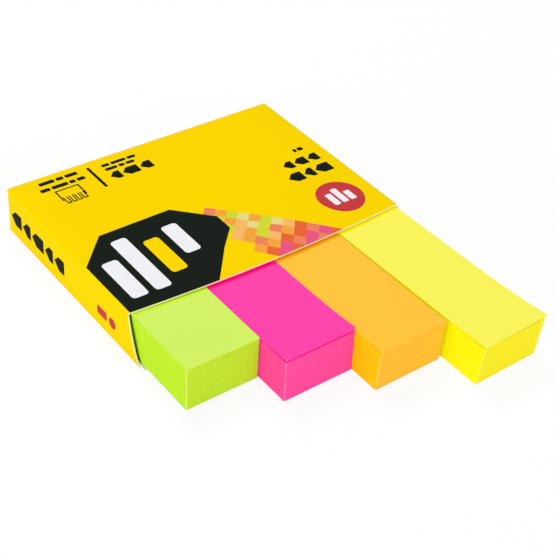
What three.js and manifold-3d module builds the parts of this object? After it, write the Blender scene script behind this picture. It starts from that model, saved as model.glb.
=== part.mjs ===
// Pack of sticky index tabs: four pads of narrow coloured sheets, side by side in a sleeve
// folded from one printed card, and drawn out of its mouth by different lengths.
// Millimetres, +Z up. The mouth faces -Y. The finished pack is centred over the origin, on the ground.

import * as THREE from 'three';
import { mergeVertices } from 'three/addons/utils/BufferGeometryUtils.js';
import Module from 'manifold-3d';

const wasm = await Module();
wasm.setup();

// Sheets
const sheetWidth = 19;
const sheetLength = 76;
const sheetThickness = 0.11;
const sheetsPerPad = 100;
const sheetsPerBundle = 5;
const looseSheets = 3;
const bundleJogAcross = 0.02;
const bundleJogAlong = 0.05;
const fanRise = 0.3;
const curlLength = 26;
const curlShareAtLeft = 0.35;
const looseOverhang = 0.2;
const curlStepsAcross = 6;
const curlStepsAlong = 20;

// Card
const cardThickness = 0.4;
const foldRadius = 0.6;
const foldSteps = 5;
const glueFlapHeight = 9;
const glueFlapSetback = 3;
const dustFlapLength = 15;
const flapTaper = 3;
const cutEdgeGap = 0.1;
const lipReach = 8;
const lipCornerRadius = 1.6;
const lipOverlap = 4;
const sideSlant = 3.4;
const sideFootReach = 5.1;
const sideFootHeight = 2.2;

// Clearances
const padGap = 0.06;
const restGap = 0.02;
const sideClearance = 0.15;
const sidePlay = 0.55;
const topClearance = 0.25;
const endClearance = 0.9;
const weldOverlap = 0.01;

// How far a cutting shape runs on past what it cuts, in a narrow place and in an open one
const cutMargin = 1;
const farBeyond = 10;
const mergeDistance = 1e-5;

// Pads from left to right: how far each is drawn out past the top panel, how far its upper
// sheets have slid forward, how much its loose top sheets curl up, and how askew it stands.
const pads = [
  { name: 'green_pad', colour: 0xc4ee58, drawnOut: 22, slide: -0.3, curl: 0.05, skew: 0 },
  { name: 'pink_pad', colour: 0xfb4aa6, drawnOut: 31.3, slide: -0.5, curl: 0.45, skew: 0.1 },
  { name: 'orange_pad', colour: 0xfdc033, drawnOut: 39.5, slide: 0.2, curl: 0.12, skew: 0.1 },
  { name: 'yellow_pad', colour: 0xf9f32e, drawnOut: 50.2, slide: 0.9, curl: 0.9, skew: null },
];

// Worked out from the values above
const padHeight = sheetsPerPad * sheetThickness;
const looseThickness = looseSheets * sheetThickness;
const squaredHeight = padHeight - looseThickness;
const homePad = pads[0];
const innerWidth = pads.length * sheetWidth + (pads.length - 1) * padGap + 2 * sideClearance + sidePlay;
const outerWidth = innerWidth + 3 * cardThickness;
const innerHeight = restGap + padHeight + topClearance;
const outerHeight = innerHeight + 2 * cardThickness;
const sleeveLength = sheetLength - homePad.drawnOut + endClearance + 2 * cardThickness;
const innerLeft = -outerWidth / 2 + 2 * cardThickness;
const innerRight = outerWidth / 2 - cardThickness;
const flapRoot = 2 * foldRadius;

// Closed meshes to and from solids
function toSolid(geometry) {
  const bare = geometry.clone();
  bare.deleteAttribute('normal');
  bare.deleteAttribute('uv');
  const merged = mergeVertices(bare, mergeDistance);
  const vertProperties = new Float32Array(merged.attributes.position.array);
  const triVerts = new Uint32Array(merged.index.array);
  return new wasm.Manifold(new wasm.Mesh({ numProp: 3, vertProperties, triVerts }));
}

function toGeometry(solid) {
  const mesh = solid.getMesh();
  const geometry = new THREE.BufferGeometry();
  geometry.setAttribute('position', new THREE.BufferAttribute(mesh.vertProperties, 3));
  geometry.setIndex(new THREE.BufferAttribute(mesh.triVerts, 1));
  geometry.computeVertexNormals();
  return geometry;
}

function joinAll(solids) {
  return solids.reduce((whole, next) => whole.add(next));
}

// Outlines swept along one axis. An outline's two coordinates are (x, z), (y, z) or (x, y).
function sweep(outline, length) {
  return new THREE.ExtrudeGeometry(outline, { depth: length, bevelEnabled: false, curveSegments: foldSteps });
}

function sweepAlongY(outline, from, to) {
  const geometry = sweep(outline, to - from);
  geometry.rotateX(Math.PI / 2);
  geometry.translate(0, to, 0);
  return toSolid(geometry);
}

function sweepAlongX(outline, from, to) {
  const geometry = sweep(outline, to - from);
  const turn = new THREE.Matrix4().makeBasis(
    new THREE.Vector3(0, 1, 0), new THREE.Vector3(0, 0, 1), new THREE.Vector3(1, 0, 0));
  geometry.applyMatrix4(turn);
  geometry.translate(from, 0, 0);
  return toSolid(geometry);
}

function sweepAlongZ(outline, from, to) {
  const geometry = sweep(outline, to - from);
  geometry.translate(0, 0, from);
  return toSolid(geometry);
}

function block(low, high) {
  const size = high.map((value, axis) => value - low[axis]);
  const middle = high.map((value, axis) => (value + low[axis]) / 2);
  const geometry = new THREE.BoxGeometry(...size);
  geometry.translate(...middle);
  return toSolid(geometry);
}

// A square corner of a folded card, rounded to a radius
function foldedCorner(before, corner, after, radius) {
  const back = before.clone().sub(corner).normalize();
  const ahead = after.clone().sub(corner).normalize();
  const centre = corner.clone().addScaledVector(back, radius).addScaledVector(ahead, radius);
  const points = [];
  for (let step = 0; step <= foldSteps; step += 1) {
    const angle = (Math.PI / 2) * (step / foldSteps);
    const point = centre.clone();
    point.addScaledVector(ahead, -radius * Math.cos(angle));
    point.addScaledVector(back, -radius * Math.sin(angle));
    points.push(point);
  }
  return points;
}

function foldedLine(corners, radius) {
  const last = corners.length - 1;
  return corners.flatMap((corner, index) => {
    const isEnd = index === 0 || index === last;
    return isEnd ? [corner] : foldedCorner(corners[index - 1], corner, corners[index + 1], radius);
  });
}

// Section of a card that is folded square at each inner point of a line along its outer face.
// The card's thickness lies to the right of that line.
function foldedStrip(...outerPoints) {
  const outer = outerPoints.map(([a, b]) => new THREE.Vector2(a, b));
  const rights = outer.slice(1).map((point, index) => {
    const along = point.clone().sub(outer[index]).normalize();
    return new THREE.Vector2(along.y, -along.x);
  });
  const inner = outer.map((point, index) => {
    const before = rights[Math.max(index - 1, 0)];
    const after = rights[Math.min(index, rights.length - 1)];
    const moved = point.clone().addScaledVector(after, cardThickness);
    return before.equals(after) ? moved : moved.addScaledVector(before, cardThickness);
  });
  const outline = foldedLine(outer, foldRadius);
  const inside = foldedLine(inner, foldRadius - cardThickness).reverse();
  return new THREE.Shape([...outline, ...inside]);
}

// The wall that runs round the pads: left side, top, right side and bottom, open at the lap
function sleeveWall() {
  const half = outerWidth / 2;
  const section = foldedStrip(
    [-half, cutEdgeGap], [-half, outerHeight], [half, outerHeight], [half, 0],
    [-half + cardThickness + foldRadius, 0]);
  const wall = sweepAlongY(section, -sideFootReach, sleeveLength - cardThickness);
  const cornerBack = sleeveLength - cardThickness - foldRadius;
  const sides = [-1, 1].map((side) => {
    const near = side * (half - cardThickness - weldOverlap);
    const far = side * (half + farBeyond);
    return block(
      [Math.min(near, far), cornerBack, foldRadius],
      [Math.max(near, far), sleeveLength + farBeyond, outerHeight - foldRadius]);
  });
  return wall.subtract(mouthCutter()).subtract(joinAll(sides));
}

// What is cut away at the mouth: the top panel ends straight, and each side panel's edge slants
// forward on its way down and curves into its foot.
function mouthCutter() {
  const slantAt = (height) => -sideSlant * (1 - height / outerHeight);
  const front = new THREE.Shape();
  front.moveTo(slantAt(outerHeight + cutEdgeGap), outerHeight + cutEdgeGap);
  front.lineTo(slantAt(sideFootHeight), sideFootHeight);
  front.quadraticCurveTo(-sideSlant, cutEdgeGap, -sideFootReach, 0);
  front.lineTo(-sideFootReach, -farBeyond);
  front.lineTo(-sideFootReach - farBeyond, -farBeyond);
  front.lineTo(-sideFootReach - farBeyond, outerHeight + farBeyond);
  front.lineTo(slantAt(outerHeight + cutEdgeGap), outerHeight + farBeyond);
  return sweepAlongX(front, -outerWidth, outerWidth);
}

// The bottom panel runs on past the mouth as a lip with round corners.
function frontLip() {
  const left = -outerWidth / 2 + cardThickness - weldOverlap;
  const right = outerWidth / 2 - foldRadius;
  const radius = lipCornerRadius;
  const arcY = -lipReach + radius;
  const plan = new THREE.Shape();
  plan.moveTo(left, lipOverlap);
  plan.lineTo(left, arcY);
  plan.absarc(left + radius, arcY, radius, Math.PI, 1.5 * Math.PI);
  plan.lineTo(right - radius, -lipReach);
  plan.absarc(right - radius, arcY, radius, 1.5 * Math.PI, 2 * Math.PI);
  plan.lineTo(right, lipOverlap);
  return sweepAlongZ(plan, 0, cardThickness);
}

// The glue flap turns up from the bottom panel and is stuck to the left side panel's inner face.
function glueFlap() {
  const foldLeft = -outerWidth / 2 + cardThickness - weldOverlap;
  const section = foldedStrip(
    [foldLeft + flapRoot + weldOverlap, 0], [foldLeft, 0], [foldLeft, glueFlapHeight]);
  const from = glueFlapSetback;
  const to = sleeveLength - cardThickness - glueFlapSetback;
  const flap = sweepAlongY(section, from, to);
  const above = glueFlapHeight + cutMargin;
  const ends = [[from, 1], [to, -1]].map(([end, inward]) => {
    const corner = new THREE.Shape([
      new THREE.Vector2(end - inward * cutMargin, above),
      new THREE.Vector2(end - inward * cutMargin, foldRadius),
      new THREE.Vector2(end, foldRadius),
      new THREE.Vector2(end + inward * flapTaper, above),
    ]);
    return sweepAlongX(corner, foldLeft - cutMargin, foldLeft + cutMargin);
  });
  const bottomBehindFlap = block(
    [foldLeft, to - weldOverlap, 0],
    [foldLeft + flapRoot, sleeveLength - cardThickness, cardThickness]);
  return flap.subtract(joinAll(ends)).add(bottomBehindFlap);
}

// A dust flap turns in from the far end of each side panel, with a slanted lower and upper edge.
function dustFlap(side) {
  const half = outerWidth / 2;
  const foldLine = sleeveLength - cardThickness;
  const start = foldLine - flapRoot;
  const tip = half - dustFlapLength;
  const left = [[-half, start], [-half, foldLine], [-tip, foldLine]];
  const right = [[tip, foldLine], [half, foldLine], [half, start]];
  const plan = side < 0 ? foldedStrip(...left) : foldedStrip(...right);
  const low = foldRadius;
  const high = outerHeight - foldRadius;
  const flap = sweepAlongZ(plan, low, high);
  const face = new THREE.Shape([
    new THREE.Vector2(side * (half + cutMargin), low),
    new THREE.Vector2(side * (half - flapRoot), low),
    new THREE.Vector2(side * tip, low + flapTaper),
    new THREE.Vector2(side * tip, high - flapTaper),
    new THREE.Vector2(side * (half - flapRoot), high),
    new THREE.Vector2(side * (half + cutMargin), high),
  ]);
  return flap.intersect(sweepAlongY(face, start - cutMargin, foldLine + cutMargin));
}

// The end panel turns down from the top panel and is stuck over the dust flaps.
function endPanel() {
  const half = outerWidth / 2 - foldRadius;
  const section = foldedStrip(
    [sleeveLength - flapRoot, outerHeight], [sleeveLength, outerHeight], [sleeveLength, cutEdgeGap]);
  const panel = sweepAlongX(section, -half, half);
  const bottomSeam = block(
    [-half, sleeveLength - cardThickness - foldRadius, 0],
    [half, sleeveLength - cardThickness + weldOverlap, cardThickness]);
  const glueLine = block(
    [-half, sleeveLength - cardThickness - weldOverlap, foldRadius + flapTaper],
    [half, sleeveLength - cardThickness + weldOverlap, outerHeight - foldRadius - flapTaper]);
  const glued = glueLine.subtract(block(
    [-half + dustFlapLength, sleeveLength - farBeyond, 0],
    [half - dustFlapLength, sleeveLength + farBeyond, outerHeight]));
  return joinAll([panel, bottomSeam, glued]);
}

function cardSleeve() {
  return joinAll([sleeveWall(), frontLip(), glueFlap(), dustFlap(-1), dustFlap(1), endPanel()]);
}

// A pad's height grows past the mouth, where nothing presses its sheets together.
function heightAt(alongFromBack, inserted) {
  const past = Math.max(alongFromBack - inserted, 0);
  return padHeight + fanRise * (past / (sheetLength - inserted));
}

// A small shift to one side or the other, spread evenly over the bundles
function jog(index, reach) {
  const goldenShare = (Math.sqrt(5) - 1) / 2;
  return reach * (2 * ((index * goldenShare) % 1) - 1);
}

// One bundle of sheets, between two shares of the pad's height. A pad's own frame starts at the
// lower left corner of its back end, and its sheets run towards -Y.
function bundle(lowShare, highShare, inserted) {
  const stations = [0, inserted, sheetLength];
  const weldShare = Math.min(lowShare, weldOverlap / squaredHeight);
  const lineAt = (share) => stations.map((station) => {
    const level = share * (heightAt(station, inserted) - looseThickness);
    return new THREE.Vector2(-station, level);
  });
  const outline = [...lineAt(lowShare - weldShare), ...lineAt(highShare).reverse()];
  return sweepAlongX(new THREE.Shape(outline), 0, sheetWidth);
}

// The top few sheets hang together loosely: they reach a little further out than the block
// under them, and curl up towards the right corner of their free end.
function looseTop(pad, inserted) {
  const geometry = new THREE.BoxGeometry(
    sheetWidth, sheetLength, looseThickness, curlStepsAcross, curlStepsAlong, 1);
  geometry.translate(sheetWidth / 2, -sheetLength / 2, looseThickness / 2);
  const position = geometry.attributes.position;
  for (let index = 0; index < position.count; index += 1) {
    const across = position.getX(index) / sheetWidth;
    const along = -position.getY(index);
    const share = Math.max((along - sheetLength + curlLength) / curlLength, 0);
    const curl = pad.curl * share ** 2 * (curlShareAtLeft + (1 - curlShareAtLeft) * across);
    const base = heightAt(along, inserted) - looseThickness - weldOverlap;
    position.setY(index, -along - pad.slide - looseOverhang * (along / sheetLength));
    position.setZ(index, position.getZ(index) + base + curl);
  }
  return toSolid(geometry);
}

function padBlock(pad) {
  const inserted = sheetLength - pad.drawnOut;
  const count = Math.round((sheetsPerPad - looseSheets) / sheetsPerBundle);
  const bundles = [];
  for (let index = 0; index < count; index += 1) {
    const sheets = bundle(index / count, (index + 1) / count, inserted);
    const slid = -pad.slide * ((index + 0.5) / count) + jog(index, bundleJogAlong);
    const acrossJog = jog(count - index, bundleJogAcross);
    bundles.push(sheets.translate([acrossJog, slid, 0]));
  }
  return joinAll([...bundles, looseTop(pad, inserted)]);
}

function finish(colour, roughness) {
  return new THREE.MeshStandardMaterial({ color: colour, roughness, metalness: 0 });
}

function named(name, solid, material) {
  const mesh = new THREE.Mesh(toGeometry(solid), material);
  mesh.name = name;
  return mesh;
}

// Pads are set in one after another from the left. The last one takes up the play that is left
// by standing askew, and tips forward over the lip until its back end meets the top panel.
function setPads(group) {
  let edgeAt = () => innerLeft + sideClearance - padGap;
  for (const pad of pads) {
    const backEnd = sheetLength - pad.drawnOut;
    const backLeft = edgeAt(backEnd) + padGap;
    const isLast = pad === pads[pads.length - 1];
    const roomLeft = innerRight - sideClearance - backLeft - sheetWidth;
    const skew = isLast
      ? Math.atan(roomLeft / (backEnd + sideFootReach))
      : THREE.MathUtils.degToRad(pad.skew);
    const tip = isLast ? Math.atan(topClearance / 2 / (backEnd + lipReach)) : 0;
    const mesh = named(pad.name, padBlock(pad), finish(pad.colour, 0.8));
    mesh.rotation.set(tip, 0, skew);
    const raised = (backEnd + lipReach) * Math.tan(tip);
    mesh.position.set(backLeft, backEnd, cardThickness + restGap + raised);
    group.add(mesh);
    edgeAt = (y) => backLeft + sheetWidth + (backEnd - y) * Math.tan(skew);
  }
}

const pack = new THREE.Group();
pack.add(named('card_sleeve', cardSleeve(), finish(0xf8d400, 0.4)));
setPads(pack);

pack.updateMatrixWorld(true);
const reach = new THREE.Box3().setFromObject(pack, true);
const middle = reach.getCenter(new THREE.Vector3());
pack.position.set(-middle.x, -middle.y, -reach.min.z);

export default pack;
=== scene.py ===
# Pack of sticky index sheets: four pads of narrow coloured paper in a sleeve folded from
# yellow card, each drawn out of the sleeve's mouth by its own length.
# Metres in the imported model's frame. Sizes are named in millimetres times MM.

import math
import random

import bmesh
import bpy
from mathutils import Matrix, Vector


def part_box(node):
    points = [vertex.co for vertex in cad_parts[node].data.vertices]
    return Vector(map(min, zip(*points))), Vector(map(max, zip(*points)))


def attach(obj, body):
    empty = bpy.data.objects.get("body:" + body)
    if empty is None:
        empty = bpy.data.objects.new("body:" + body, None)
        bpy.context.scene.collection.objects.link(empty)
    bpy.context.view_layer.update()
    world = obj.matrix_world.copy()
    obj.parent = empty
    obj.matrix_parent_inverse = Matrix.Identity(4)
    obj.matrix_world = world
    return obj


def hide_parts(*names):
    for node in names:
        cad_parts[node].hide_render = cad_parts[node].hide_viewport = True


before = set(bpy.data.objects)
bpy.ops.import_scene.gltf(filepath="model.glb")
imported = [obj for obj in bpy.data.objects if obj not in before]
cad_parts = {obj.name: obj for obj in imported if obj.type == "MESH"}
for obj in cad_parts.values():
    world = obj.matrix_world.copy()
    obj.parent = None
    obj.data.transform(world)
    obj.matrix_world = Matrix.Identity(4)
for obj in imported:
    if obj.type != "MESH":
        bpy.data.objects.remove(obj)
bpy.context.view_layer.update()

MM = 0.001

# How close two places count as one, and how close two corners are merged
NEAR = 0.01 * MM
WELD = 0.004 * MM

# Card of the sleeve
CARD = 0.4 * MM
FOLD_RADIUS = 0.6 * MM
FOLD_STEPS = 6
SMOOTH_ANGLE = math.radians(40)
LIP_REACH = 8 * MM
LIP_CORNER = 1.6 * MM
CUT_EDGE_GAP = 0.1 * MM
GLUE_FLAP_HEIGHT = 9 * MM
GLUE_FLAP_SETBACK = 3 * MM
DUST_FLAP_LENGTH = 15 * MM
DUST_FLAP_TIP_SHARE = 0.45

# Front edges of the side panels: a slant down from the mouth, with a curved foot on the lip
SIDE_SLANT = 4.2 * MM
SIDE_FOOT_REACH = 5.6 * MM
SIDE_FOOT_HEIGHT = 2.2 * MM

# Bow of the panels: the top one upward, its front edge forward, and the side ones outward as far
# in from the mouth as the bulge is deep
PANEL_BOW = 0.28 * MM
MOUTH_BOW = 1.65 * MM
SIDE_BULGE = 0.22 * MM
BULGE_DEPTH = 36 * MM

# Cuts that let the panels and their print follow the bow. Those of the sides are shares of
# their height, with some more near the foot.
BOW_CUTS_ACROSS = 8
BOW_CUTS_ALONG = 7
SIDE_CUT_SHARES = (0.02, 0.04, 0.06, 0.12, 0.15, *(step / 12 for step in range(1, 12)))

# Ink
INK_THICKNESS = 0.012 * MM
INK_LIFT = 0.008 * MM
INK_LIFT_AT_SIDE = 0.03 * MM

# Sheets of the pads. Paper fills its own share of a sheet's thickness, and the rest is the line
# between two sheets. Steps are the parts that a sheet is cut into, across and along.
SHEET_WIDTH = 19 * MM
SHEET_LENGTH = 76 * MM
SHEET_THICKNESS = 0.11 * MM
SHEET_CORNER = 0.16 * MM
SHEETS_PER_PAD = 100
LOOSE_SHEETS = 3
PRESSED_SHEETS = SHEETS_PER_PAD - LOOSE_SHEETS
PAD_HEIGHT = SHEETS_PER_PAD * SHEET_THICKNESS
LOOSE_LEVEL = PRESSED_SHEETS * SHEET_THICKNESS
PRESSED_SHARE = 0.97
PRESSED_STEPS = (4, 19)
LOOSE_SHARE = 0.9
LOOSE_STEPS = (12, 57)
PAD_CLEARANCE = 0.02 * MM
FIRST_SEED = 11

# How far the sheets lie out of line, and each loose one forward of the one below it
SHEET_JOG_ACROSS = 0.02 * MM
SHEET_JOG_ALONG = 0.015 * MM
LOOSE_STEP = 0.05 * MM

# Curl at the front: its length, how much less each lower loose sheet lifts, and the height from
# which the pressed sheets lift along with them, and by what share
CURL_LENGTH = 21 * MM
LOOSE_SPREAD = 0.05
UPPER_SHARE = 0.9
UPPER_LIFT = 0.2

# Slack for telling a loose sheet from the pressed ones, and for counting it
LEVEL_SLACK = 0.001 * MM
COUNT_SLACK = 0.01

# Each pad: how far its upper sheets have slid forward, how loosely it is pressed, how much it
# fans open past the mouth, how far its loose sheets curl up at the right corner and what share
# of that at the left one, how far they stand out at the front, and how far the pad leans
# forward out of the mouth.
STANCES = {
    "green_pad": {"slide": -0.3 * MM, "swell": 0.22 * MM, "fan": 0.12 * MM, "curl": 0.0,
                  "left_share": 1.0, "overhang": 0.0, "tip": 0.0},
    "pink_pad": {"slide": -0.5 * MM, "swell": 0.0, "fan": 0.0, "curl": 1.02 * MM,
                 "left_share": 0.8, "overhang": 0.1 * MM, "tip": 0.0},
    "orange_pad": {"slide": 0.2 * MM, "swell": 0.06 * MM, "fan": 0.24 * MM, "curl": 0.1 * MM,
                   "left_share": 1.0, "overhang": 0.12 * MM, "tip": 0.0},
    "yellow_pad": {"slide": 0.7 * MM, "swell": 0.0, "fan": 0.1 * MM, "curl": 1.15 * MM,
                   "left_share": 0.35, "overhang": 0.2 * MM, "tip": math.radians(0.212)},
}

# Each pad's paper, one dye painted in the light each face gets: the face of a sheet, paler
# with a painted sheen; the pale of its specks, and of its corners, where it is a painted highlight
# on the pale burr of the cut; the cut faces at the front and the sides, each in its own painted
# light and shade; the sheet in the card's shadow; a painted glow that keeps its dye bright in
# shade; and the level of light that is left in its gaps.
PAPERS = {
    "green_pad": {
        "sheet": (0.5, 0.56, 0.12), "pale": (0.7, 0.76, 0.3), "front": (0.41, 0.49, 0.03),
        "side": (0.42, 0.55, 0.02), "shaded": (0.42, 0.55, 0.0), "glow": (0.12, 0.3, 0.0),
        "gap_level": 0.0},
    "pink_pad": {
        "sheet": (0.42, 0.053, 0.25), "pale": (0.6, 0.35, 0.5), "front": (0.44, 0.077, 0.19),
        "side": (0.4, 0.072, 0.16), "shaded": (0.37, 0.004, 0.02), "glow": (0.58, 0.0, 0.15),
        "gap_level": 0.95},
    "orange_pad": {
        "sheet": (0.46, 0.34, 0.042), "pale": (0.55, 0.48, 0.2), "front": (0.46, 0.31, 0.038),
        "side": (0.42, 0.38, 0.001), "shaded": (0.45, 0.1, 0.0), "glow": (0.53, 0.2, 0.0),
        "gap_level": 0.5},
    "yellow_pad": {
        "sheet": (0.45, 0.45, 0.1), "pale": (0.5, 0.5, 0.3), "front": (0.45, 0.38, 0.014),
        "side": (0.48, 0.48, 0.0), "shaded": (0.48, 0.38, 0.0), "glow": (0.48, 0.44, 0.0),
        "gap_level": 0.75},
}

# Finish of the paper: scales of its patterns, its two tones, and its relief
PAPER_ROUGHNESS = 0.6
PAPER_GLOSS = 0.05
PAPER_FIBRES = 2600
PAPER_CLOUD = 90
PAPER_SPECKS = 700
SPECK_EDGE = (0.05, 0.1)
SPECK_SHARE = 0.3
SHEET_LINES = 9000
SHEET_LINE_STRETCH = (0.02, 0.02, 1)
BLADE_STREAKS = 1400
BLADE_STREAK_STRETCH = (1, 1, 0.03)
LINE_EDGE = (0.3, 0.7)
SHEET_TONES = (0.95, 1.05)
CUT_TONES = (0.93, 1.05)
PAPER_RELIEF = 0.02 * MM
PAPER_RELIEF_SHARE = 0.6

# How far a face of a pad has turned sideways, from 0 to 1, where it fades into a side, into the
# pale corner and out of it again; and how far upward, where it fades into a sheet's face. Each
# face takes its own painted light and shade, and the pale corner is a painted highlight on the
# pale burr of the cut.
SIDE_TURN = (0.5, 0.9)
CORNER_START_TURN = (0.4, 0.6)
CORNER_END_TURN = (0.8, 0.95)
CORNER_SHARE = 0.4
FACE_TURN = (0.5, 0.8)

# Painted shade in the gaps between the pads and the card: how far and with how many samples they
# are looked into, the openness at which they are dark and clear, and how dark they get
GAP_REACH = 2 * MM
GAP_SAMPLES = 12
GAP_EDGE = (0.12, 0.5)
GAP_SHADE = 0.05

# The card's shadow on the sheets: how far in front of its edge it starts, and where it is full
CARD_SHADOW = (1.4 * MM, 0.15 * MM)

# Finish of the card: colours of the yellow print, where it is rubbed pale and where it is dull,
# of the bare inside and of the cut edges
PRINT_YELLOW = (0.92, 0.64, 0.0)
PRINT_RUBBED = (0.62, 0.55, 0.32)
PRINT_DULL = (0.5, 0.4, 0.01)
CARD_INSIDE = (0.93, 0.92, 0.85)
CARD_CUT_EDGE = (0.9, 0.87, 0.62)
PRINT_ROUGHNESS = 0.42
PRINT_GLOSS = 0.005
PRINT_CLOUD = 45
PRINT_GRAIN = 1800
PRINT_TONES = (0.97, 1.03)
PRINT_RELIEF = 0.012 * MM
PRINT_RELIEF_SHARE = 0.35
CARD_ROUGHNESS = 0.8
CARD_GLOSS = 0.5
CARD_FIBRES = 3000
CARD_TONES = (0.95, 1.0)
CARD_RELIEF = 0.01 * MM
CARD_RELIEF_SHARE = 0.25

# Bands inside the folds: how far from its fold each starts, and where it is full. The rubbed one
# is worn and patchy; the dull one only darkens the print.
TOP_BAND = (0.6 * MM, 0.2 * MM)
RIGHT_BAND = (0.7 * MM, 0.2 * MM)
END_BAND = (0.9 * MM, 0.4 * MM)
DULL_SHARE = 0.6
RUBBED_SHARE = 0.8
RUBBED_PATCHES = 130
RUBBED_PATCH_EDGE = (0.38, 0.6)

# Inks over the yellow print
INK_GLOSS = 0.01
INK_TONES = (0.93, 1.07)
INK_RELIEF = 0.01 * MM
INKS = {
    "black": (0.009, 0.013, 0.0095),
    "white": (0.83, 0.83, 0.86),
    "yellow": (0.93, 0.64, 0.0),
    "red": (0.55, 0.045, 0.055),
}

# Shapes of the print, in millimetres
ARC_STEPS = 4
DISC_CORNERS = 48
MARK_CORNER = 0.35
MARK_GAP = 0.5
LABEL_BAR_CORNER = 0.9
DISC_BAR_CORNER = 0.4
PICTOGRAM_CORNER = 0.1

# Patchwork: its colours, its rows from their far ends to the mouth, the squares' side, the first
# row's place, and the smallest area that is printed
PATCH_COLOURS = {
    "peach": (0.9, 0.46, 0.13),
    "orange": (0.87, 0.36, 0.045),
    "lime": (0.62, 0.66, 0.03),
    "pale": (0.75, 0.68, 0.22),
    "salmon": (0.82, 0.22, 0.1),
    "coral": (0.8, 0.13, 0.04),
    "pink": (0.8, 0.09, 0.22),
}
PATCH_ROWS = (
    ("orange", "coral", "pink"),
    ("peach", "orange", "salmon", "orange", "pink", "coral"),
    ("lime", "peach", "orange", "lime", "peach", "coral", "salmon", "pink"),
    ("peach", "lime", "orange", "peach", "pale", "lime", "salmon", "orange", "coral", "pink",
     "salmon"),
    ("salmon", "orange", "lime", "pale", "orange", "lime", "pale", "peach", "coral", "salmon",
     "pink", "coral"),
)
PATCH_SIDE = 3.9
PATCH_FIRST_ROW = 1.2
SMALLEST_PATCH = 0.01

# Camera, from the corners of the pads and the sleeve
CAMERA_PLACE = Vector((-153.4, -188.3, 198.3)) * MM
CAMERA_HEADING = math.radians(39.92)
CAMERA_ELEVATION = math.radians(38.63)
CAMERA_ROLL = math.radians(4.82)
CAMERA_LENS = 85.0
CAMERA_CLIP = 0.01
SENSOR_WIDTH = 36.0

# Studio
WORLD_LEVEL = 0.4
FLOOR_SIZE = 6
FLOOR_COLOUR = (0.93, 0.93, 0.93)
FLOOR_ROUGHNESS = 0.9
FLOOR_GLOSS = 0.1
FLOOR_GLOW = 0.88
LAMP_TARGET = Vector((0, 0, 0.006))
SOFTBOXES = {
    "back softbox": {"place": Vector((0.1, 0.48, 0.84)), "size": 0.4, "power": 4.6},
    "left softbox": {"place": Vector((-0.8, -0.1, 0.22)), "size": 0.6, "power": 3.5},
    "front softbox": {"place": Vector((0.0, -0.8, 0.3)), "size": 0.6, "power": 2.8},
}


class Sleeve:
    """The sleeve's main planes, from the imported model."""

    low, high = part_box("card_sleeve")
    left = low.x
    right = high.x
    front = low.y
    back = high.y
    floor = low.z
    top = high.z
    mouth = front + LIP_REACH
    height = top - floor
    inner_left = left + CARD
    turn = back - CARD - FOLD_RADIUS
    middle_x = (left + right) / 2
    half_flat = (right - left) / 2 - FOLD_RADIUS


# Modelling

def deselect_all():
    """Leaves object mode with nothing selected."""
    if bpy.context.object and bpy.context.object.mode != "OBJECT":
        bpy.ops.object.mode_set(mode="OBJECT")
    bpy.ops.object.select_all(action="DESELECT")


def make_active(piece):
    deselect_all()
    piece.select_set(True)
    bpy.context.view_layer.objects.active = piece


def start_editing(piece):
    make_active(piece)
    bpy.ops.object.mode_set(mode="EDIT")
    bpy.ops.mesh.select_mode(type="EDGE")
    bpy.ops.mesh.select_all(action="DESELECT")


def stop_editing():
    bpy.ops.object.mode_set(mode="OBJECT")


def near(value, target):
    return abs(value - target) < NEAR


def select_edges(piece, wanted):
    """Selects the edges whose two ends both pass the test, and only those."""
    bpy.ops.mesh.select_all(action="DESELECT")
    shape = bmesh.from_edit_mesh(piece.data)
    for edge in shape.edges:
        if all(wanted(vertex.co) for vertex in edge.verts):
            edge.select_set(True)
    bmesh.update_edit_mesh(piece.data)


def bisect_at(place, normal):
    """Cuts every face in edit mode along a plane, and keeps both sides."""
    bpy.ops.mesh.select_all(action="SELECT")
    bpy.ops.mesh.bisect(plane_co=place, plane_no=normal)
    bpy.ops.mesh.select_all(action="DESELECT")


def extrude_by(x, y, z):
    bpy.ops.mesh.extrude_region_move(TRANSFORM_OT_translate={"value": (x, y, z)})


def fold_round(angle, axis, center):
    """Spins the selected edges into a rounded fold. A positive angle turns clockwise, seen
    against the axis."""
    bpy.ops.mesh.spin(steps=FOLD_STEPS, angle=angle, axis=axis, center=center)


def apply_modifiers(piece):
    make_active(piece)
    for modifier in list(piece.modifiers):
        bpy.ops.object.modifier_apply(modifier=modifier.name)


def settle(piece):
    """Moves a piece's place, turn and size into its mesh."""
    make_active(piece)
    bpy.ops.object.transform_apply(location=True, rotation=True, scale=True)
    deselect_all()


def join(first, *others):
    if not others:
        return first
    deselect_all()
    for piece in (first, *others):
        piece.select_set(True)
    bpy.context.view_layer.objects.active = first
    bpy.ops.object.join()
    return first


# Materials

def new_material(name, roughness, gloss):
    material = bpy.data.materials.new(name)
    material.use_nodes = True
    shader = material.node_tree.nodes["Principled BSDF"]
    shader.inputs["Roughness"].default_value = roughness
    shader.inputs["Specular IOR Level"].default_value = gloss
    return material, material.node_tree, shader


def add_node(tree, kind, **settings):
    node = tree.nodes.new(kind)
    for name, value in settings.items():
        setattr(node, name, value)
    return node


def place_pattern(tree, scale=(1, 1, 1)):
    """Object coordinates through a Mapping node, so that a pattern stays on the piece."""
    coordinates = add_node(tree, "ShaderNodeTexCoord")
    mapping = add_node(tree, "ShaderNodeMapping")
    mapping.inputs["Scale"].default_value = scale
    tree.links.new(coordinates.outputs["Object"], mapping.inputs["Vector"])
    return mapping.outputs["Vector"]


def split_axes(tree, vector):
    node = add_node(tree, "ShaderNodeSeparateXYZ")
    tree.links.new(vector, node.inputs["Vector"])
    return node.outputs


def noise(tree, vector, scale, detail, roughness=0.55):
    node = add_node(tree, "ShaderNodeTexNoise")
    node.inputs["Scale"].default_value = scale
    node.inputs["Detail"].default_value = detail
    node.inputs["Roughness"].default_value = roughness
    tree.links.new(vector, node.inputs["Vector"])
    return node.outputs["Fac"]


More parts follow.
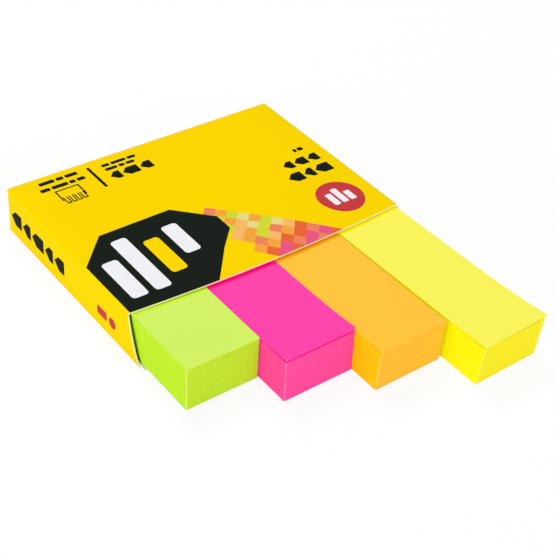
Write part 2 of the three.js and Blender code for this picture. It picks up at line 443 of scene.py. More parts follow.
def calculate(tree, operation, first, second=0.0):
    node = add_node(tree, "ShaderNodeMath", operation=operation)
    for socket, value in zip(node.inputs, (first, second)):
        if isinstance(value, (int, float)):
            socket.default_value = value
        else:
            tree.links.new(value, socket)
    return node.outputs["Value"]


def multiply(tree, first, second):
    return calculate(tree, "MULTIPLY", first, second)


def average(tree, first, second):
    return calculate(tree, "ADD", multiply(tree, first, 0.5), multiply(tree, second, 0.5))


def fade(tree, value, low, high, at_low=0.0, at_high=1.0):
    """Turns a value from low to high into a smooth step between two levels."""
    node = add_node(tree, "ShaderNodeMapRange", interpolation_type="SMOOTHSTEP")
    node.inputs["From Min"].default_value = low
    node.inputs["From Max"].default_value = high
    node.inputs["To Min"].default_value = at_low
    node.inputs["To Max"].default_value = at_high
    tree.links.new(value, node.inputs["Value"])
    return node.outputs["Result"]


def mix_colours(tree, share, first, second):
    node = add_node(tree, "ShaderNodeMix", data_type="RGBA")
    sockets = [socket for socket in node.inputs if socket.enabled]
    for socket, value in zip(sockets, (share, first, second)):
        if isinstance(value, tuple):
            socket.default_value = (*value, 1.0)
        else:
            tree.links.new(value, socket)
    return [socket for socket in node.outputs if socket.enabled][0]


def shade(colour, factor):
    return tuple(min(channel * factor, 1.0) for channel in colour)


def two_tones(tree, share, colour, tones):
    """One colour that wavers between a darker and a lighter tone."""
    dark, light = tones
    return mix_colours(tree, share, shade(colour, dark), shade(colour, light))


def add_relief(tree, shader, height, distance, strength):
    bump = add_node(tree, "ShaderNodeBump")
    bump.inputs["Strength"].default_value = strength
    bump.inputs["Distance"].default_value = distance
    tree.links.new(height, bump.inputs["Height"])
    tree.links.new(bump.outputs["Normal"], shader.inputs["Normal"])


def card_shadow(tree, place):
    """The strip of a sheet along the card's front edge, which curves as the edge does."""
    axes = split_axes(tree, place)
    across = calculate(tree, "SUBTRACT", axes["X"], Sleeve.middle_x)
    across = calculate(tree, "DIVIDE", across, Sleeve.half_flat)
    bow = calculate(tree, "SUBTRACT", 1.0, multiply(tree, across, across))
    from_edge = calculate(tree, "ADD", axes["Y"], multiply(tree, bow, MOUTH_BOW))
    start, full = CARD_SHADOW
    return fade(tree, from_edge, Sleeve.mouth - start, Sleeve.mouth - full)


def sheet_face(tree, place, tone, colours):
    """The flat of a sheet, paler with its painted sheen, with a few pale specks, and deeper in the
    card's shadow.
    """
    specks = add_node(tree, "ShaderNodeTexVoronoi", feature="F1")
    specks.inputs["Scale"].default_value = PAPER_SPECKS
    tree.links.new(place, specks.inputs["Vector"])
    spot = fade(tree, specks.outputs["Distance"], *SPECK_EDGE, SPECK_SHARE, 0.0)
    face = two_tones(tree, tone, colours["sheet"], SHEET_TONES)
    face = mix_colours(tree, spot, face, colours["pale"])
    return mix_colours(tree, card_shadow(tree, place), face, colours["shaded"])


def cut_face(tree, lines, sideways, colours):
    """The cut edges of the sheets: the front and the sides, each in its own painted light and
    shade, and pale corners between them, a painted highlight on the pale burr of the cut.
    """
    front = two_tones(tree, lines, colours["front"], CUT_TONES)
    side = two_tones(tree, lines, colours["side"], CUT_TONES)
    face = mix_colours(tree, fade(tree, sideways, *SIDE_TURN), front, side)
    corner = multiply(tree, fade(tree, sideways, *CORNER_START_TURN),
                      fade(tree, sideways, *CORNER_END_TURN, 1.0, 0.0))
    return mix_colours(tree, multiply(tree, corner, CORNER_SHARE), face, colours["pale"])


def paper_material(name, colours):
    """Matte paper with a bright dye and a painted glow: fibres all over, and on the cut faces
    fine lines of the sheets and of the cutting blade. Its faces take painted light and shade by the
    way they turn, and painted shade in deep gaps takes its colour and its glow away."""
    material, tree, shader = new_material(name, PAPER_ROUGHNESS, PAPER_GLOSS)
    still = place_pattern(tree)
    fibres = noise(tree, still, PAPER_FIBRES, detail=4)
    cloud = noise(tree, still, PAPER_CLOUD, detail=2)
    layers = noise(tree, place_pattern(tree, SHEET_LINE_STRETCH), SHEET_LINES, detail=2)
    streaks = noise(tree, place_pattern(tree, BLADE_STREAK_STRETCH), BLADE_STREAKS, detail=3)
    cut = average(tree, layers, streaks)

    geometry = add_node(tree, "ShaderNodeNewGeometry")
    normal = split_axes(tree, geometry.outputs["True Normal"])
    sideways = calculate(tree, "ABSOLUTE", normal["X"])
    upward = calculate(tree, "ABSOLUTE", normal["Z"])
    flat = sheet_face(tree, still, average(tree, fibres, cloud), colours)
    edge = cut_face(tree, fade(tree, cut, *LINE_EDGE), sideways, colours)
    # Painted light and shade: the cut faces' colours and a sheet's paler face, with its painted
    # sheen, by the way each face turns
    colour = mix_colours(tree, fade(tree, upward, *FACE_TURN), edge, flat)

    # Painted shade in the deep gaps
    gap = add_node(tree, "ShaderNodeAmbientOcclusion", samples=GAP_SAMPLES)
    gap.inputs["Distance"].default_value = GAP_REACH
    openness = fade(tree, gap.outputs["AO"], *GAP_EDGE, colours["gap_level"], 1.0)
    colour = mix_colours(tree, openness, shade(colours["side"], GAP_SHADE), colour)
    tree.links.new(colour, shader.inputs["Base Color"])
    # A painted glow, taken away by the painted shade of the gaps
    shader.inputs["Emission Color"].default_value = (*colours["glow"], 1)
    tree.links.new(openness, shader.inputs["Emission Strength"])
    add_relief(tree, shader, average(tree, fibres, cut), PAPER_RELIEF, PAPER_RELIEF_SHARE)
    return material


def inside_fold(tree, place, fold, band):
    """The band of a panel along a fold."""
    start, full = band
    return fade(tree, place, fold - start, fold - full)


def card_print_material():
    """Yellow print on smooth card, rubbed pale along the fold of the end panel and dull along
    the right fold."""
    material, tree, shader = new_material("yellow print", PRINT_ROUGHNESS, PRINT_GLOSS)
    still = place_pattern(tree)
    cloud = noise(tree, still, PRINT_CLOUD, detail=2)
    grain = noise(tree, still, PRINT_GRAIN, detail=3)
    colour = two_tones(tree, cloud, PRINT_YELLOW, PRINT_TONES)

    axes = split_axes(tree, still)
    at_top = inside_fold(tree, axes["Z"], Sleeve.top, TOP_BAND)
    at_right = inside_fold(tree, axes["X"], Sleeve.right, RIGHT_BAND)
    at_end = inside_fold(tree, axes["Y"], Sleeve.back, END_BAND)
    dull = multiply(tree, multiply(tree, at_right, at_top), DULL_SHARE)
    colour = mix_colours(tree, dull, colour, PRINT_DULL)
    patches = noise(tree, still, RUBBED_PATCHES, detail=5, roughness=0.7)
    rubbed = multiply(tree, multiply(tree, at_end, at_top), fade(tree, patches, *RUBBED_PATCH_EDGE))
    colour = mix_colours(tree, multiply(tree, rubbed, RUBBED_SHARE), colour, PRINT_RUBBED)
    tree.links.new(colour, shader.inputs["Base Color"])
    height = calculate(tree, "ADD", grain, cloud)
    add_relief(tree, shader, height, PRINT_RELIEF, PRINT_RELIEF_SHARE)
    return material


def bare_card_material(name, colour):
    """Unprinted card: the inside face and the cut edges, with short grey fibres."""
    material, tree, shader = new_material(name, CARD_ROUGHNESS, CARD_GLOSS)
    fibres = noise(tree, place_pattern(tree), CARD_FIBRES, detail=5)
    tree.links.new(two_tones(tree, fibres, colour, CARD_TONES), shader.inputs["Base Color"])
    add_relief(tree, shader, fibres, CARD_RELIEF, CARD_RELIEF_SHARE)
    return material


def ink_material(name, colour):
    """A field of ink on the card, with the card's own faint grain and gloss."""
    material, tree, shader = new_material(name + " ink", PRINT_ROUGHNESS, INK_GLOSS)
    grain = noise(tree, place_pattern(tree), PRINT_GRAIN, detail=3)
    tree.links.new(two_tones(tree, grain, colour, INK_TONES), shader.inputs["Base Color"])
    add_relief(tree, shader, grain, INK_RELIEF, PRINT_RELIEF_SHARE)
    return material


# Card sleeve

def side_edge(height_above_floor):
    """How far the side panels reach out past the mouth at a height: a slanted line that curves
    into its foot."""
    if height_above_floor >= SIDE_FOOT_HEIGHT:
        return SIDE_SLANT * (1 - height_above_floor / Sleeve.height)
    start = SIDE_SLANT * (1 - SIDE_FOOT_HEIGHT / Sleeve.height)
    share = 1 - math.sqrt(max(height_above_floor, 0.0) / SIDE_FOOT_HEIGHT)
    straight = (1 - share) ** 2 * start
    return straight + 2 * share * (1 - share) * SIDE_SLANT + share ** 2 * SIDE_FOOT_REACH


def share_across(x):
    """A place across the top panel, from -1 at its left fold to 1 at its right one."""
    return (x - Sleeve.middle_x) / Sleeve.half_flat


def panel_height(x, y):
    """The top panel stands a little proud in its middle, and more so at the mouth."""
    along = (y - Sleeve.mouth) / (Sleeve.turn - Sleeve.mouth)
    return Sleeve.top + PANEL_BOW * max(1 - share_across(x) ** 2, 0) * max(1 - along ** 4, 0)


def mouth_reach(x, y):
    """How far the top panel is drawn forward: its front edge is curved, and the curve has gone
    at the first cut across the panel."""
    first_cut = (Sleeve.back - Sleeve.mouth) / BOW_CUTS_ALONG
    inward = (y - Sleeve.mouth) / first_cut
    return MOUTH_BOW * max(1 - share_across(x) ** 2, 0) * max(1 - inward, 0)


def side_bulge(y, z):
    """How far a side panel stands out at its mouth end, between its two folds."""
    share_up = min(max((z - Sleeve.floor) / Sleeve.height, 0), 1)
    inward = min(max((y - Sleeve.mouth) / BULGE_DEPTH, 0), 1)
    return SIDE_BULGE * 4 * share_up * (1 - share_up) * (1 - inward) ** 2


def cut_for_bow():
    """Cuts what is being edited into a grid that can follow the bowed top panel."""
    for step in range(1, BOW_CUTS_ACROSS):
        x = Sleeve.left + (Sleeve.right - Sleeve.left) * step / BOW_CUTS_ACROSS
        bisect_at((x, 0, 0), (1, 0, 0))
    for step in range(1, BOW_CUTS_ALONG):
        y = Sleeve.mouth + (Sleeve.back - Sleeve.mouth) * step / BOW_CUTS_ALONG
        bisect_at((0, y, 0), (0, 1, 0))


def cut_sides():
    """Cuts what is being edited so that it can follow the side panels' slant and bulge."""
    for share in SIDE_CUT_SHARES:
        bisect_at((0, 0, Sleeve.floor + Sleeve.height * share), (0, 0, 1))


def fold_panels(piece):
    """Turns the left side panel into a strip of four panels, rounded at the three folds."""
    select_edges(piece, lambda at: near(at.z, Sleeve.top))
    extrude_by(Sleeve.right - Sleeve.left, 0, 0)
    extrude_by(0, 0, Sleeve.floor - Sleeve.top)
    extrude_by(Sleeve.inner_left + FOLD_RADIUS - Sleeve.right, 0, 0)
    folds = ((Sleeve.left, Sleeve.top), (Sleeve.right, Sleeve.top), (Sleeve.right, Sleeve.floor))
    for x, z in folds:
        select_edges(piece, lambda at: near(at.z, z) and near(at.x, x))
        bpy.ops.mesh.bevel(offset=FOLD_RADIUS, segments=FOLD_STEPS, affect="EDGES")


def grow_front(piece):
    """Draws the side panels and the bottom forward of the top panel, with slanted side edges."""
    select_edges(piece, lambda at: near(at.y, Sleeve.mouth))
    shape = bmesh.from_edit_mesh(piece.data)
    for edge in shape.edges:
        if edge.select and all(near(vertex.co.z, Sleeve.top) for vertex in edge.verts):
            edge.select_set(False)
    bmesh.update_edit_mesh(piece.data)
    extrude_by(0, -SIDE_FOOT_REACH, 0)
    shape = bmesh.from_edit_mesh(piece.data)
    for vertex in shape.verts:
        if near(vertex.co.y, Sleeve.mouth - SIDE_FOOT_REACH):
            vertex.co.y = Sleeve.mouth - side_edge(vertex.co.z - Sleeve.floor)
    bmesh.update_edit_mesh(piece.data)


def grow_lip(piece):
    """Runs the bottom panel on past the side panels as a lip with round corners."""
    foot = Sleeve.mouth - SIDE_FOOT_REACH
    select_edges(piece, lambda at: near(at.y, foot) and near(at.z, Sleeve.floor))
    extrude_by(0, Sleeve.front - foot, 0)
    bpy.ops.mesh.select_all(action="DESELECT")
    bpy.ops.mesh.select_mode(type="VERT")
    shape = bmesh.from_edit_mesh(piece.data)
    tip = [vertex for vertex in shape.verts if near(vertex.co.y, Sleeve.front)]
    tip.sort(key=lambda vertex: vertex.co.x)
    for vertex in (tip[0], tip[-1]):
        vertex.select_set(True)
    bmesh.update_edit_mesh(piece.data)
    bpy.ops.mesh.bevel(offset=LIP_CORNER, segments=FOLD_STEPS, affect="VERTICES")
    bpy.ops.mesh.select_mode(type="EDGE")


def grow_end(piece):
    """Folds the end panel down from the top panel, and the dust flaps in behind it."""
    def at_turn(at):
        return near(at.y, Sleeve.turn)

    def at_turn_of_flat_panels(at):
        in_top = at.z > Sleeve.top - FOLD_RADIUS - NEAR
        in_bottom = at.z < Sleeve.floor + FOLD_RADIUS + NEAR
        return at_turn(at) and (in_top or in_bottom)

    select_edges(piece, at_turn_of_flat_panels)
    extrude_by(0, FOLD_RADIUS, 0)

    seam = Sleeve.turn + FOLD_RADIUS
    panel_turn = Sleeve.back - FOLD_RADIUS
    select_edges(piece, lambda at: near(at.y, seam) and near(at.z, Sleeve.top))
    bpy.ops.transform.translate(value=(0, panel_turn - seam, 0))
    fold_round(math.pi / 2, (1, 0, 0), (0, panel_turn, Sleeve.top - FOLD_RADIUS))
    extrude_by(0, 0, -(Sleeve.height - FOLD_RADIUS - CUT_EDGE_GAP))

    for side, x in ((-1, Sleeve.left), (1, Sleeve.right)):
        select_edges(piece, lambda at: at_turn(at) and near(at.x, x))
        fold_round(-side * math.pi / 2, (0, 0, 1), (x - side * FOLD_RADIUS, Sleeve.turn, 0))
        extrude_by(-side * (DUST_FLAP_LENGTH - FOLD_RADIUS), 0, 0)
        bpy.ops.transform.resize(value=(1, 1, DUST_FLAP_TIP_SHARE))


def grow_glue_flap(piece):
    """Turns the glue flap up from the bottom panel, inside the left side panel, and fills the
    fold in at its two ends."""
    edge_x = Sleeve.inner_left + FOLD_RADIUS
    flap_front = Sleeve.mouth + GLUE_FLAP_SETBACK
    flap_back = Sleeve.back - CARD - GLUE_FLAP_SETBACK
    for y in (flap_front, flap_back):
        bisect_at((0, y, 0), (0, 1, 0))

    def select_edge(first_y, last_y):
        select_edges(piece, lambda at: near(at.x, edge_x) and near(at.z, Sleeve.floor)
                     and first_y - NEAR < at.y < last_y + NEAR)

    select_edge(flap_front, flap_back)
    fold_round(-math.pi / 2, (0, 1, 0), (edge_x, 0, Sleeve.floor + FOLD_RADIUS))
    extrude_by(0, 0, GLUE_FLAP_HEIGHT - FOLD_RADIUS)
    for first_y, last_y in ((Sleeve.front, flap_front), (flap_back, Sleeve.back)):
        select_edge(first_y, last_y)
        extrude_by(-FOLD_RADIUS, 0, 0)


def bow_panels(piece):
    cut_for_bow()
    shape = bmesh.from_edit_mesh(piece.data)
    for vertex in shape.verts:
        if near(vertex.co.z, Sleeve.top):
            vertex.co.z = panel_height(vertex.co.x, vertex.co.y)
            vertex.co.y -= mouth_reach(vertex.co.x, vertex.co.y)
        elif near(vertex.co.x, Sleeve.left):
            vertex.co.x -= side_bulge(vertex.co.y, vertex.co.z)
        elif near(vertex.co.x, Sleeve.right):
            vertex.co.x += side_bulge(vertex.co.y, vertex.co.z)
    bmesh.update_edit_mesh(piece.data)


def card_sleeve():
    """Starts from the left side panel, folds the whole card from it as a sheet, and then gives
    the card its thickness."""
    middle_y = (Sleeve.mouth + Sleeve.turn) / 2
    middle_z = (Sleeve.floor + CUT_EDGE_GAP + Sleeve.top) / 2
    bpy.ops.mesh.primitive_plane_add(size=1, location=(Sleeve.left, middle_y, middle_z),
                                     rotation=(0, math.pi / 2, 0))
    piece = bpy.context.object
    piece.name = "sleeve_card"
    piece.scale = (Sleeve.height - CUT_EDGE_GAP, Sleeve.turn - Sleeve.mouth, 1)
    settle(piece)
    start_editing(piece)
    fold_panels(piece)
    cut_sides()
    grow_front(piece)
    grow_lip(piece)
    grow_end(piece)
    grow_glue_flap(piece)
    bow_panels(piece)
    bpy.ops.mesh.select_all(action="SELECT")
    bpy.ops.mesh.remove_doubles(threshold=WELD)
    bpy.ops.mesh.normals_make_consistent(inside=False)
    stop_editing()

    piece.data.materials.append(card_print_material())
    piece.data.materials.append(bare_card_material("card inside", CARD_INSIDE))
    piece.data.materials.append(bare_card_material("card cut edge", CARD_CUT_EDGE))
    wall = piece.modifiers.new("card", "SOLIDIFY")
    wall.thickness = CARD
    wall.offset = -1
    wall.use_even_offset = True
    wall.material_offset = 1
    wall.material_offset_rim = 2
    apply_modifiers(piece)
    bpy.ops.object.shade_smooth_by_angle(angle=SMOOTH_ANGLE)
    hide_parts("card_sleeve")
    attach(piece, "root")


# Pads

def single_sheet(name, own_share, steps):
    """One sheet with blunt corners, its back left corner at the origin, cut into steps across
    and along so that it can bend."""
    thickness = SHEET_THICKNESS * own_share
    bpy.ops.mesh.primitive_cube_add(size=1, location=(0, 0, 0))
    sheet = bpy.context.object
    sheet.name = name
    sheet.scale = (SHEET_WIDTH, SHEET_LENGTH, thickness)
    sheet.location = (SHEET_WIDTH / 2, -SHEET_LENGTH / 2, thickness / 2)
    settle(sheet)
    start_editing(sheet)
    across_steps, along_steps = steps
    for step in range(1, across_steps):
        bisect_at((SHEET_WIDTH * step / across_steps, 0, 0), (1, 0, 0))
    for step in range(1, along_steps):
        bisect_at((0, -SHEET_LENGTH * step / along_steps, 0), (0, 1, 0))

    def at_corner(at):
        at_side = near(at.x, 0) or near(at.x, SHEET_WIDTH)
        return at_side and (near(at.y, 0) or near(at.y, -SHEET_LENGTH))

    select_edges(sheet, at_corner)
    bpy.ops.mesh.bevel(offset=SHEET_CORNER, segments=1, affect="EDGES")
    stop_editing()
    return sheet


def stack_sheets(sheet, count, level, chance, step_along=0.0):
    """Copies a sheet up from a level, each copy a little out of line, and joins the stack."""
    copies = []
    for index in range(count):
        copy = sheet.copy()
        copy.data = sheet.data.copy()
        bpy.context.collection.objects.link(copy)
        copy.location = (
            chance.uniform(-SHEET_JOG_ACROSS, SHEET_JOG_ACROSS),
            chance.uniform(-SHEET_JOG_ALONG, SHEET_JOG_ALONG) - step_along * index,
            level + index * SHEET_THICKNESS)
        copies.append(copy)
    stack = join(*copies)
    settle(stack)
    return stack


def bend_pad(pad, stance, inserted):
    """Sets the stack as it stands: fanned past the mouth and slid forward, with its loose sheets
    curled up off the block."""
    for vertex in pad.data.vertices:
        at = vertex.co
        along = -at.y
        past = max(along - inserted, 0) / (SHEET_LENGTH - inserted)
        share_up = at.z / PAD_HEIGHT
        bend = max((along - SHEET_LENGTH + CURL_LENGTH) / CURL_LENGTH, 0) ** 2
        lean = stance["left_share"] + (1 - stance["left_share"]) * at.x / SHEET_WIDTH
        if at.z > LOOSE_LEVEL - LEVEL_SLACK:
            above = math.floor((at.z - LOOSE_LEVEL) / SHEET_THICKNESS + COUNT_SLACK)
            lift = 1 - LOOSE_SPREAD * (LOOSE_SHEETS - 1 - above)
        else:
            lift = UPPER_LIFT * max((share_up - UPPER_SHARE) / (1 - UPPER_SHARE), 0) ** 2
        at.y -= stance["slide"] * share_up
        at.z += (stance["swell"] + stance["fan"] * past) * share_up
        at.z += stance["curl"] * bend * lean * lift


def paper_pad(node, material, seed):
    """A pad, turned by what its box is wider than its sheets, with its back end at the box's."""
    low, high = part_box(node)
    stance = STANCES[node]
    chance = random.Random(seed)
    yaw = math.asin((high.x - low.x - SHEET_WIDTH - 2 * SHEET_JOG_ACROSS) / SHEET_LENGTH)
    back_y = high.y - max(-stance["slide"], 0) - SHEET_WIDTH * math.sin(yaw)
    inserted = back_y - Sleeve.mouth

    pressed_sheet = single_sheet("sheet", PRESSED_SHARE, PRESSED_STEPS)
    block = stack_sheets(pressed_sheet, PRESSED_SHEETS, 0, chance)
    loose_sheet = single_sheet("loose sheet", LOOSE_SHARE, LOOSE_STEPS)
    loose_sheet.location.y = -stance["overhang"]
    settle(loose_sheet)
    loose = stack_sheets(loose_sheet, LOOSE_SHEETS, LOOSE_LEVEL, chance, LOOSE_STEP)
    for sample in (pressed_sheet, loose_sheet):
        bpy.data.objects.remove(sample)
    pad = join(block, loose)
    pad.name = node.replace("_pad", "_sheets")
    bend_pad(pad, stance, inserted)

    raised = (inserted + LIP_REACH) * math.tan(stance["tip"])
    bottom = Sleeve.floor + CARD + PAD_CLEARANCE + raised
    pad.rotation_euler = (stance["tip"], 0, yaw)
    pad.location = (low.x + SHEET_JOG_ACROSS, back_y, bottom)
    settle(pad)
    pad.data.materials.clear()
    pad.data.materials.append(material)
    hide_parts(node)
    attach(pad, "root")


# Print on the sleeve. Outlines are in millimetres: on the top panel from the middle of the
# mouth, as it is before its edge is curved, and on the left side panel from the mouth and the
# floor.

def arc(x, y, radius, start, end, steps):
    angles = [math.radians(start + (end - start) * step / steps) for step in range(steps + 1)]
    return [(x + radius * math.cos(angle), y + radius * math.sin(angle)) for angle in angles]


def bar(left, right, front, back, radius=MARK_CORNER):
    """A rectangle with round corners."""
    return [*arc(right - radius, back - radius, radius, 0, 90, ARC_STEPS),
            *arc(left + radius, back - radius, radius, 90, 180, ARC_STEPS),
            *arc(left + radius, front + radius, radius, 180, 270, ARC_STEPS),
            *arc(right - radius, front + radius, radius, 270, 360, ARC_STEPS)]


def flag(left, right, front, back):
    """A tab with a pointed end."""
    tip = (back - front) / 2
    return [(left, (front + back) / 2), (left + tip, front), (right, front), (right, back),
            (left + tip, back)]


def disc(x, y, radius):
    return arc(x, y, radius, 0, 360 - 360 / DISC_CORNERS, DISC_CORNERS - 1)


def row_of(shape, left, front, back, widths, gap=MARK_GAP):
    """Shapes of the given widths side by side."""
    outlines = []
    for width in widths:
        outlines.append(shape(left, left + width, front, back))
        left += width + gap
    return outlines


def keep_on_panel(outline):
    """The part of an outline that lies behind the panel's front edge."""
    kept = []
    for (x0, y0), (x1, y1) in zip(outline, outline[1:] + outline[:1]):
        if y0 >= 0:
            kept.append((x0, y0))
        if (y0 < 0) != (y1 < 0):
            share = -y0 / (y1 - y0)
            kept.append((x0 + (x1 - x0) * share, 0.0))
    return kept


def area_of(outline):
    corners = zip(outline, outline[1:] + outline[:1])
    return sum(x0 * y1 - x1 * y0 for (x0, y0), (x1, y1) in corners) / 2


def flat_patch(outline):
    """One filled outline, facing up, in metres from its panel's own zero point."""
    if area_of(outline) < 0:
        outline = outline[::-1]
    bpy.ops.mesh.primitive_circle_add(vertices=len(outline), fill_type="NGON")
    patch = bpy.context.object
    for vertex, (x, y) in zip(patch.data.vertices, outline):
        vertex.co = (x * MM, y * MM, 0)
    patch.data.update()
    if patch.data.polygons[0].normal.z < 0:
        start_editing(patch)
        bpy.ops.mesh.select_all(action="SELECT")
        bpy.ops.mesh.flip_normals()
        stop_editing()
    return patch


def ink_on(patch, material, name, layer):
    """Gives a patch on its panel the thickness of ink and makes it a piece of the sleeve. An
    upper layer is thicker, so that it covers those below it."""
    ink = patch.modifiers.new("ink", "SOLIDIFY")
    ink.thickness = INK_THICKNESS * layer
    ink.offset = 1
    apply_modifiers(patch)
    patch.name = name
    patch.data.materials.append(material)
    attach(patch, "root")


def print_on_top(name, material, outlines, layer=1):
    patch = join(*[flat_patch(outline) for outline in outlines])
    patch.location = (Sleeve.middle_x, Sleeve.mouth, 0)
    settle(patch)
    start_editing(patch)
    cut_for_bow()
    stop_editing()
    for vertex in patch.data.vertices:
        vertex.co.z = panel_height(vertex.co.x, vertex.co.y) + INK_LIFT
        vertex.co.y -= mouth_reach(vertex.co.x, vertex.co.y)
    ink_on(patch, material, name, layer)


def print_on_side(name, material, outlines):
    """An outline's x is minus its distance inward from the mouth, and its y is its height above
    the floor."""
    patch = join(*[flat_patch(outline) for outline in outlines])
    patch.matrix_world = Matrix(((0, 0, -1, 0), (-1, 0, 0, Sleeve.mouth), (0, 1, 0, Sleeve.floor),
                                 (0, 0, 0, 1)))
    settle(patch)
    start_editing(patch)
    cut_for_bow()
    cut_sides()
    stop_editing()
    for vertex in patch.data.vertices:
        vertex.co.x = Sleeve.left - INK_LIFT_AT_SIDE - side_bulge(vertex.co.y, vertex.co.z)
    ink_on(patch, material, name, layer=1)


def patchwork():
    """Diagonal rows of squares that run down to the mouth, each colour one piece of print. A
    row's place is x + y, and a square's place in it is y - x."""
    squares = {}
    for row, colours in enumerate(PATCH_ROWS):
        across = PATCH_FIRST_ROW + row * PATCH_SIDE
        for index, colour in enumerate(reversed(colours)):
            along = -across - PATCH_SIDE + index * PATCH_SIDE
            corners = [(across, along), (across + PATCH_SIDE, along),
                       (across + PATCH_SIDE, along + PATCH_SIDE), (across, along + PATCH_SIDE)]
            outline = keep_on_panel([((u - v) / 2, (u + v) / 2) for u, v in corners])
            if len(outline) > 2 and abs(area_of(outline)) > SMALLEST_PATCH:
                squares.setdefault(colour, []).append(outline)
    for colour, outlines in squares.items():
        ink = ink_material(colour, PATCH_COLOURS[colour])
        print_on_top("print_patch_" + colour, ink, outlines)


def print_label(inks):
    """A dark label that runs down to the mouth, with four bars on it."""
    edge = [(-38.45, 0.02), (-38.45, 18.6), (-30, 27.2), (-10.5, 27.2), (-2.2, 18.9),
            (-2.2, 13.5), (-15.6, 0.02)]
    white_bars = [bar(-35.4, -31.2, 3.6, 17.6, LABEL_BAR_CORNER),
                  bar(-29.4, -25.2, 3.6, 23.6, LABEL_BAR_CORNER),
                  bar(-16.4, -12.2, 10.6, 22.2, LABEL_BAR_CORNER)]
    yellow_bar = bar(-22.9, -18.7, 6.6, 19.8, LABEL_BAR_CORNER)
    print_on_top("print_label", inks["black"], [edge], layer=2)
    print_on_top("print_label_bars", inks["white"], white_bars, layer=3)
    print_on_top("print_label_bar_yellow", inks["yellow"], [yellow_bar], layer=3)


def print_disc(inks):
    bars = [bar(25.4, 27.2, 7.4, 12.2, DISC_BAR_CORNER),
            bar(27.9, 29.7, 7.4, 13.4, DISC_BAR_CORNER),
            bar(30.4, 32.2, 7.4, 11.2, DISC_BAR_CORNER)]
    print_on_top("print_disc", inks["red"], [disc(28.8, 10, 6.2)])
    print_on_top("print_disc_bars", inks["white"], bars, layer=2)


def print_marks(inks):
    """Flags and short bars in rows, at the right and at the far end."""
    marks = [
        *row_of(flag, 22.2, 20.4, 24, (4.4, 3, 4.8)),
        *row_of(flag, 24.4, 25.9, 29, (3, 3.8, 3.2)),
        *row_of(bar, 31, 31.5, 32.9, (1, 1.6), gap=0.4),
        *row_of(flag, -15, 45, 48.2, (3, 4.6, 3.4)),
        *row_of(bar, -14.6, 49.3, 50.4, (3.4, 1.6, 2.4)),
        *row_of(bar, -14.6, 51.2, 52.3, (2.2, 4.2, 2.4)),
        bar(-18.4, -17.6, 43.5, 53, 0.15),
        *row_of(bar, -32.8, 49.2, 50.5, (2.6, 4.4, 1.6, 2.2)),
        *row_of(bar, -31.8, 51.9, 53.2, (4.2, 2, 3.4)),
    ]
    print_on_top("print_marks", inks["black"], marks)


def print_pictogram(inks):
    """A pad in outline, with four tabs standing out of it."""
    lines = [(-30, -23.4, 47.8, 48.2), (-30, -29.6, 43.6, 48), (-23.8, -23.4, 43.6, 48)]
    for left in (-29.5, -28, -26.5, -25):
        lines += [(left, left + 0.3, 42.4, 45), (left + 0.9, left + 1.2, 42.4, 45),
                  (left, left + 1.2, 42.1, 42.5)]
    bars = [bar(*line, PICTOGRAM_CORNER) for line in lines]
    print_on_top("print_pictogram", inks["black"], bars)


def print_side_panel(inks):
    flags = row_of(flag, -53.4, 3.6, 7.6, (5, 3.8, 5.6, 3.8, 4.6), gap=0.7)
    mark = [disc(-6.2, 4.8, 1.45), bar(-12.8, -8.6, 3.6, 6, 0.5)]
    print_on_side("print_side_flags", inks["black"], flags)
    print_on_side("print_side_mark", inks["red"], mark)


def sleeve_print():
    inks = {name: ink_material(name, colour) for name, colour in INKS.items()}
    patchwork()
    print_label(inks)
    print_disc(inks)
    print_marks(inks)
    print_pictogram(inks)
    print_side_panel(inks)


# Studio

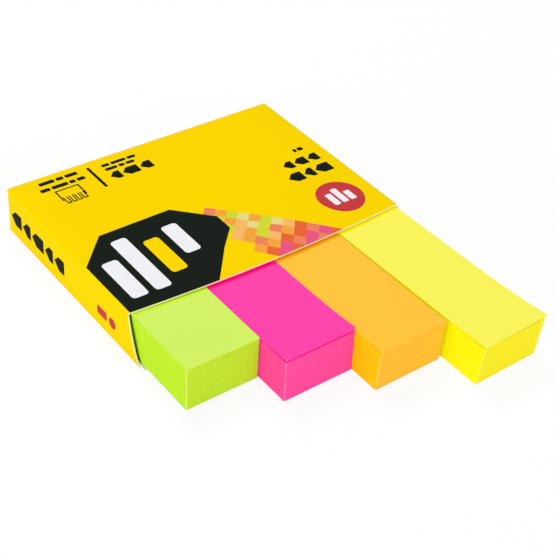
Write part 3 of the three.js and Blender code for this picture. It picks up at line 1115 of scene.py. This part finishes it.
def plain_floor():
    """A floor that takes soft shadows, and glows towards the camera so that it stays white."""
    bpy.ops.mesh.primitive_plane_add(size=FLOOR_SIZE, location=(0, 0, 0))
    floor = bpy.context.object
    floor.name = "floor"
    material, tree, shader = new_material("white floor", FLOOR_ROUGHNESS, FLOOR_GLOSS)
    shader.inputs["Base Color"].default_value = (*FLOOR_COLOUR, 1)
    glow = add_node(tree, "ShaderNodeEmission")
    glow.inputs["Color"].default_value = (1, 1, 1, 1)
    blend = add_node(tree, "ShaderNodeMixShader")
    rays = add_node(tree, "ShaderNodeLightPath").outputs
    seen = calculate(tree, "MAXIMUM", rays["Is Camera Ray"], rays["Is Glossy Ray"])
    seen = calculate(tree, "MAXIMUM", seen, rays["Is Transmission Ray"])
    tree.links.new(multiply(tree, seen, FLOOR_GLOW), blend.inputs["Fac"])
    tree.links.new(shader.outputs["BSDF"], blend.inputs[1])
    tree.links.new(glow.outputs["Emission"], blend.inputs[2])
    output = tree.nodes["Material Output"]
    tree.links.new(blend.outputs["Shader"], output.inputs["Surface"])
    floor.data.materials.append(material)


def white_world():
    """White to the camera, and dimmer as a light."""
    world = bpy.data.worlds.new("white room")
    bpy.context.scene.world = world
    world.use_nodes = True
    tree = world.node_tree
    background = tree.nodes["Background"]
    rays = add_node(tree, "ShaderNodeLightPath")
    strength = add_node(tree, "ShaderNodeMapRange")
    strength.inputs["To Min"].default_value = WORLD_LEVEL
    strength.inputs["To Max"].default_value = 1.0
    tree.links.new(rays.outputs["Is Camera Ray"], strength.inputs["Value"])
    tree.links.new(strength.outputs["Result"], background.inputs["Strength"])
    background.inputs["Color"].default_value = (1, 1, 1, 1)


def soft_lamp(name, place, size, power):
    bpy.ops.object.light_add(type="AREA", location=place)
    lamp = bpy.context.object
    lamp.name = name
    lamp.data.shape = "DISK"
    lamp.data.size = size
    lamp.data.energy = power
    lamp.rotation_euler = (LAMP_TARGET - place).to_track_quat("-Z", "Y").to_euler()


def photo_camera():
    bpy.ops.object.camera_add()
    camera = bpy.context.object
    camera.name = "camera"
    camera.data.lens = CAMERA_LENS
    camera.data.sensor_width = SENSOR_WIDTH
    camera.data.clip_start = CAMERA_CLIP
    turn = (Matrix.Rotation(-CAMERA_HEADING, 4, "Z")
            @ Matrix.Rotation(math.pi / 2 - CAMERA_ELEVATION, 4, "X")
            @ Matrix.Rotation(CAMERA_ROLL, 4, "Z"))
    camera.matrix_world = Matrix.Translation(CAMERA_PLACE) @ turn
    bpy.context.scene.camera = camera


deselect_all()
photo_camera()
white_world()
plain_floor()
for name, box in SOFTBOXES.items():
    soft_lamp(name, **box)

card_sleeve()
sleeve_print()
for seed, (node, colours) in enumerate(PAPERS.items(), start=FIRST_SEED):
    paper_pad(node, paper_material(node.replace("_pad", " paper"), colours), seed)

bpy.context.scene.view_settings.view_transform = "Standard"
deselect_all()
